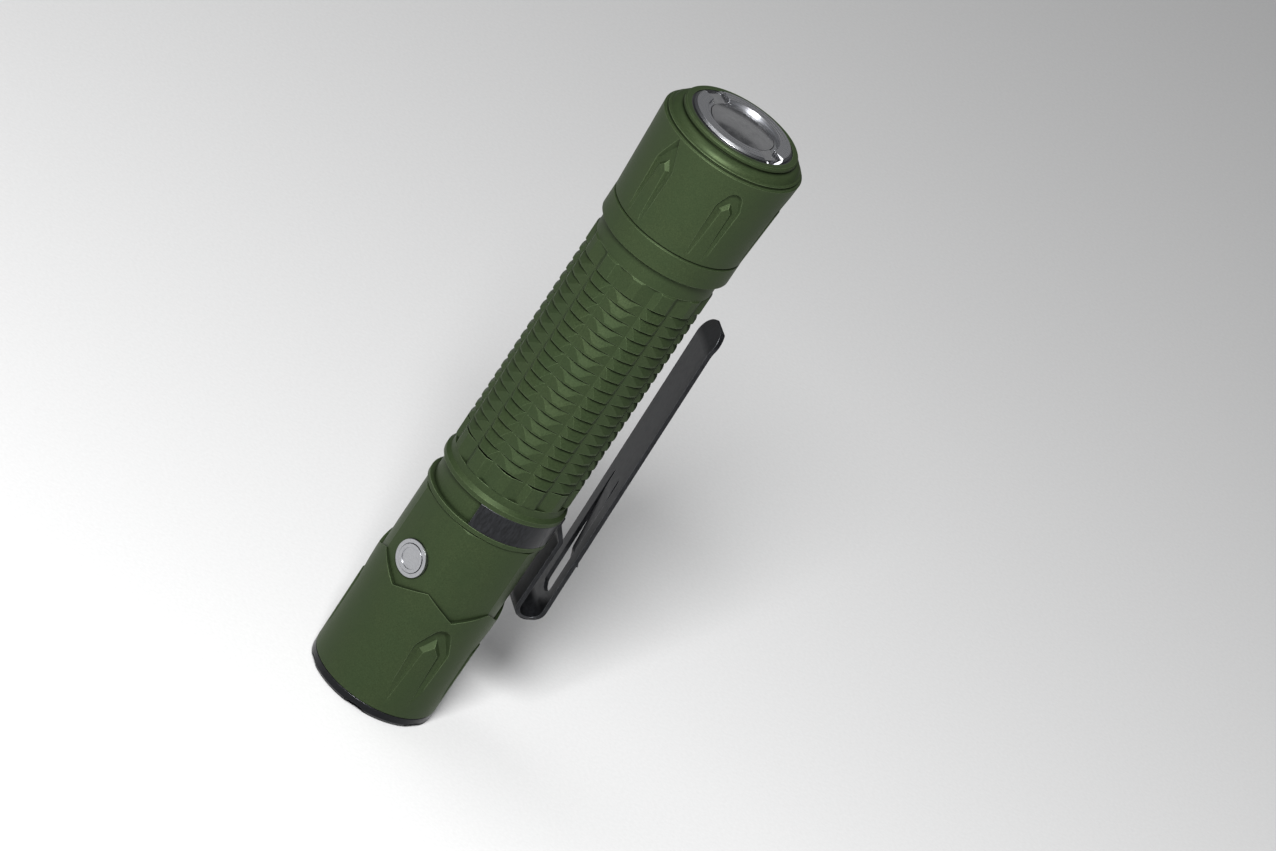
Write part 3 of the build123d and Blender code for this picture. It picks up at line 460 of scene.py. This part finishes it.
tan_ceramic, tan_shader = finish("capacitor_ceramic", (176, 140, 104), 0.4)
banded = wire(
    tan_ceramic, "ShaderNodeSeparateXYZ", {"Vector": place(tan_ceramic)},
).outputs["X"]
caps_low, caps_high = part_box("driver_capacitors")
from_end = wire(
    tan_ceramic, "ShaderNodeMath", {0: banded, 1: (caps_low.x + caps_high.x) / 2},
    operation="SUBTRACT",
).outputs["Value"]
reach = wire(tan_ceramic, "ShaderNodeMath", {0: from_end}, operation="ABSOLUTE").outputs["Value"]
caps_span = caps_high.x - caps_low.x
metal_end = spread(tan_ceramic, reach, 0, 1, at=(0.3 * caps_span, 0.31 * caps_span))
feed(
    tan_ceramic, tan_shader,
    Base_Color=blend(tan_ceramic, metal_end, (176, 140, 104), (205, 205, 208)),
    Metallic=metal_end,
)
dress(tan_ceramic, "driver_capacitors")

bare, bare_shader = finish("bare_aluminium", (196, 197, 199), 0.34, Metallic=1.0)
cut_marks = grain(bare, place(bare, stretch=(1, 1, 10)), 0.0006)
feed(
    bare, bare_shader,
    Base_Color=shade(bare, cut_marks, (0.3, (176, 177, 180)), (0.7, (212, 213, 214))),
    Roughness=spread(bare, cut_marks, 0.26, 0.44),
    Normal=relief(bare, cut_marks, 0.000008, radius=0.0001),
)
dress(bare, "driver_ring", "tail_ring_nut")

gold, gold_shader = finish("gold_spring", (226, 176, 84), 0.22, Metallic=1.0)
plating = grain(gold, place(gold), 0.0004)
feed(
    gold, gold_shader,
    Base_Color=shade(gold, plating, (0.3, (208, 156, 66)), (0.7, (238, 192, 104))),
    Roughness=spread(gold, plating, 0.16, 0.3),
)
dress(gold, "front_contact_spring", "tail_contact_spring")

# ------------------------------------------------------------------ side switch
# A small board with a click dome sits on a boss in the head, under a rubber seal. A ring of
# satin steel holds the button, which has the same finish and moves 0.4 mm.

dome_steel, dome_shader = finish("switch_dome_steel", (210, 208, 200), 0.16, Metallic=1.0)
stamped = grain(dome_steel, place(dome_steel), 0.0005)
feed(dome_steel, dome_shader, Roughness=spread(dome_steel, stamped, 0.1, 0.24))
dress(dome_steel, "side_switch_dome")

satin, satin_shader = finish("satin_steel", (168, 169, 172), 0.32, Metallic=1.0)
ground = grain(satin, place(satin, stretch=(1, 1, 9)), 0.0007)
feed(
    satin, satin_shader,
    Base_Color=shade(satin, ground, (0.3, (160, 161, 164)), (0.7, (176, 177, 180))),
    Roughness=spread(satin, ground, 0.27, 0.37),
    Normal=relief(satin, ground, 0.000001, radius=0.00008),
)
dress(satin, "side_switch_bezel", "side_button")

# ------------------------------------------------------------------ battery tube
# Turned from aluminium bar with threads at both ends. The grip is milled with twelve
# lengthwise channels over sawtooth rings, and has the same blasted green anodising.

dress(green, "battery_tube")

# ------------------------------------------------------------------ pocket clip
# Spring steel, stamped, bent back on itself and blackened. It snaps round the tube behind
# the head, and its raised tongue lets it slide on from either side.

clip_black, clip_shader = finish("clip_steel", (30, 31, 33), 0.36, Metallic=0.7)
spot = place(clip_black, stretch=(1, 1, 0.25))
brushed = grain(clip_black, spot, 0.00035)
# Sharp edges are lightened towards grey: a painted highlight, for the reflections along the plate's
# edges.
clip_edge_highlight = edges(clip_black, 0.00014)
feed(
    clip_black, clip_shader,
    Base_Color=blend(
        clip_black, spread(clip_black, clip_edge_highlight, 0, 0.6, at=(0.3, 1)),
        shade(clip_black, brushed, (0.35, (22, 23, 25)), (0.65, (40, 41, 44))), (132, 134, 138),
    ),
    Roughness=spread(clip_black, brushed, 0.28, 0.46),
    Normal=relief(clip_black, brushed, 0.00001, radius=0.00014),
)
dress(clip_black, "pocket_clip")

# ------------------------------------------------------------------ cell
# One 21700 lithium cell: a drawn steel can in a shrink-wrapped sleeve, a paper washer and a
# nickel-plated button at the end that faces the head.

can, can_shader = finish("cell_metal", (176, 177, 180), 0.3, Metallic=1.0)
rolled = grain(can, place(can, stretch=(1, 1, 0.1)), 0.0008)
feed(can, can_shader, Roughness=spread(can, rolled, 0.2, 0.4))
dress(can, "cell_can")

sleeve, sleeve_shader = finish("cell_wrap", (28, 60, 44), 0.3, Coat_Weight=0.3)
cell_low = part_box("cell_sleeve")[0]
band_height = 0.012
band_edge = 0.0001
spot = place(sleeve)
shrunk = grain(sleeve, spot, 0.003)
height = wire(sleeve, "ShaderNodeSeparateXYZ", {"Vector": spot}).outputs["Z"]
band_top = cell_low.z + band_height
band = spread(sleeve, height, 0, 1, at=(band_top, band_top + band_edge))
feed(
    sleeve, sleeve_shader,
    Base_Color=blend(
        sleeve, band, (196, 202, 196),
        shade(sleeve, shrunk, (0.3, (24, 54, 39)), (0.7, (34, 68, 50))),
    ),
    Roughness=spread(sleeve, shrunk, 0.24, 0.38),
    Normal=relief(sleeve, shrunk, 0.00003),
)
dress(sleeve, "cell_sleeve")

paper, paper_shader = finish("white_paper", (233, 232, 226), 0.85)
fibres = grain(paper, place(paper, stretch=(1, 3, 1)), 0.0003)
feed(
    paper, paper_shader,
    Base_Color=shade(paper, fibres, (0.3, (220, 219, 212)), (0.7, (241, 240, 236))),
    Normal=relief(paper, fibres, 0.00003),
)
dress(paper, "cell_top_insulator")

nickel, nickel_shader = finish("nickel", (202, 200, 192), 0.2, Metallic=1.0)
plated = grain(nickel, place(nickel), 0.0005)
feed(nickel, nickel_shader, Roughness=spread(nickel, plated, 0.12, 0.3))
dress(nickel, "cell_positive_button", "tail_magnet")

# ------------------------------------------------------------------ tail cap
# Turned from the same bar and anodised with the tube. It flares to a shoulder, then steps in
# through a groove, two ridges and a rim, and has six small arrow recesses.

dress(green, "tail_cap_housing")

# ------------------------------------------------------------------ inside the tail cap
# A two-stage switch on a round board, a ring magnet for the charger, and a rubber boot that
# seals the button. A threaded ring holds the stack from the front.

dress(black_mould, "tail_switch_plunger")

# ------------------------------------------------------------------ tail contact and button
# Both are turned from stainless steel. The contact ring is milled into two raised crescents
# with sloping ends; the domed button between them has two ears that stop it turning.

ring_steel, ring_shader = finish("ring_steel", (190, 191, 194), 0.28, Metallic=1.0)


def turning_lines(made, width):
    """Fine rings round the light's axis, as a lathe tool leaves them on a face."""
    flat = wire(made, "ShaderNodeMapping", {"Vector": place(made), "Scale": (1, 1, 0)})
    plugs = {0: flat.outputs["Vector"]}
    out = wire(made, "ShaderNodeVectorMath", plugs, operation="LENGTH").outputs["Value"]
    line = wire(made, "ShaderNodeCombineXYZ", {"X": out}).outputs["Vector"]
    return grain(made, line, width, detail=2)


lines = turning_lines(ring_steel, 0.00012)
feed(
    ring_steel, ring_shader,
    Base_Color=shade(ring_steel, lines, (0.3, (172, 173, 177)), (0.7, (204, 205, 208))),
    Roughness=spread(ring_steel, lines, 0.2, 0.34),
    Normal=relief(ring_steel, lines, 0.0000008, radius=0.00008),
)
dress(ring_steel, "tail_contact_ring")

button_steel, button_shader = finish("button_steel", (196, 196, 197), 0.16, Metallic=1.0)
buffed = grain(button_steel, place(button_steel), 0.0016)
feed(
    button_steel, button_shader,
    Base_Color=shade(button_steel, buffed, (0.3, (184, 184, 186)), (0.7, (206, 206, 207))),
    Roughness=spread(button_steel, buffed, 0.12, 0.22),
    Normal=relief(button_steel, turning_lines(button_steel, 0.0002), 0.0000004, radius=0.00008),
)
dress(button_steel, "tail_button")

# ------------------------------------------------------------------ floor, light and camera
# A sheet of white card under a soft key lamp at the upper left, a wide one overhead and a weak
# one behind, whose reflection draws the flats of the steel.

card, card_shader = finish("white_card", (208, 208, 208), 0.9, Specular_IOR_Level=0.1)
tooth = grain(card, place(card), 0.0008)
feed(
    card, card_shader,
    Base_Color=shade(card, tooth, (0.3, (206, 206, 206)), (0.7, (211, 211, 211))),
    Normal=relief(card, tooth, 0.00001),
)
floor_shell = bmesh.new()
floor_half = 6.0
floor_gap = 0.0001
bmesh.ops.create_grid(floor_shell, x_segments=8, y_segments=8, size=floor_half)
floor_data = bpy.data.meshes.new("floor")
floor_shell.to_mesh(floor_data)
floor_shell.free()
floor = bpy.data.objects.new("floor", floor_data)
floor.location.z = cad_box[0][2] - floor_gap
floor_data.materials.append(card)
bpy.context.scene.collection.objects.link(floor)

room = bpy.data.worlds.new("room")
room.use_nodes = True
sky = room.node_tree.nodes["Background"]
sky.inputs["Color"].default_value = (0.94, 0.96, 1.0, 1)
sky.inputs["Strength"].default_value = 0.09
bpy.context.scene.world = room

# the camera stands well back with a long lens, and is rolled so that the tail leans right
aim = Vector((0.01255, -0.00734, 0.07467))
heading = radians(30.324)
pitch = radians(25.594)
distance = 1.46187
forward = Vector((sin(heading) * cos(pitch), cos(heading) * cos(pitch), -sin(pitch)))
level = forward.cross(Vector((0, 0, 1))).normalized()
upright = level.cross(forward)
roll = radians(34.155)
right = level * cos(roll) + upright * sin(roll)
upper = upright * cos(roll) - level * sin(roll)
turned_view = Matrix((right, upper, -forward)).transposed().to_4x4()
lens_data = bpy.data.cameras.new("camera")
lens_data.sensor_width = 36
lens_data.lens = 225.7
lens_data.clip_start = 0.05
lens_data.clip_end = 30
camera = bpy.data.objects.new("camera", lens_data)
camera.matrix_world = Matrix.Translation(aim - forward * distance) @ turned_view
bpy.context.scene.collection.objects.link(camera)
bpy.context.scene.camera = camera


def softbox(name, direction, reach, size, power):
    """A square soft lamp that faces the middle of the light from one direction."""
    lamp = bpy.data.lights.new(name, "AREA")
    lamp.size = size
    lamp.energy = power
    holder = bpy.data.objects.new(name, lamp)
    away = direction.normalized()
    holder.location = aim + away * reach
    holder.rotation_euler = away.to_track_quat("Z", "Y").to_euler()
    bpy.context.scene.collection.objects.link(holder)


def towards(azimuth, elevation):
    """The direction at an azimuth from +X and an elevation above the floor, in degrees."""
    flat_part = cos(radians(elevation))
    return Vector((
        cos(radians(azimuth)) * flat_part, sin(radians(azimuth)) * flat_part, sin(radians(elevation)),
    ))


softbox("key_lamp", towards(232, 44), 0.8, 0.24, 12.5)
softbox("top_lamp", towards(140, 70), 1.1, 0.5, 2.6)
softbox("back_lamp", towards(60, 30), 1.0, 0.45, 0.12)

bpy.context.scene.view_settings.view_transform = "Standard"
